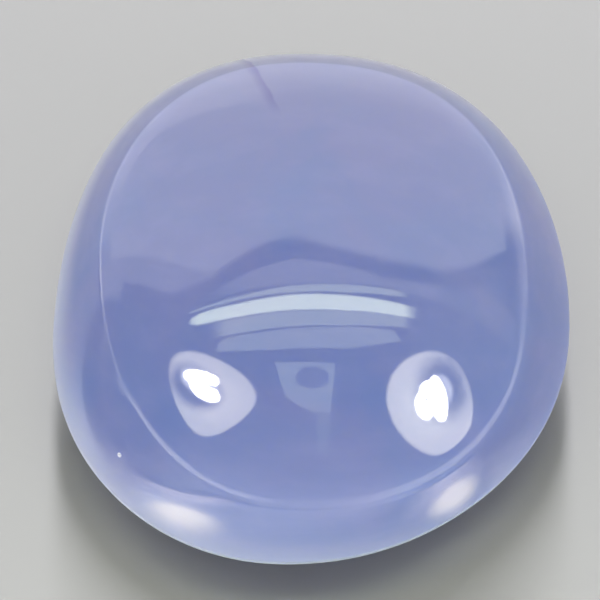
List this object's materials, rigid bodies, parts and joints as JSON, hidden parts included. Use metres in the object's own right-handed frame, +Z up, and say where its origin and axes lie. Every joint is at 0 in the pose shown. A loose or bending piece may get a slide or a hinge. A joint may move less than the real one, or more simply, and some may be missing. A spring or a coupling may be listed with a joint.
{
  "type": "lavender chalcedony cabochon",
  "caption": "Loose polished lavender chalcedony stone, nearly round, with a low dome, a soft ridge, a sloping wall and a flat back.",
  "frame": {"origin": "on the flat back, under the middle of the stone's outline", "axes": "+Z up from the flat back to the crown, +Y along the stone's length to its far end, +X to its right side"},
  "size_m": [0.014, 0.0146, 0.0065],
  "materials": {
    "chalcedony": "high polish all over, slightly translucent, faint cloudy bands of lavender and pale blue"
  },
  "bodies": {
    "root": {"cabochon": "chalcedony"}
  },
  "joints": []
}
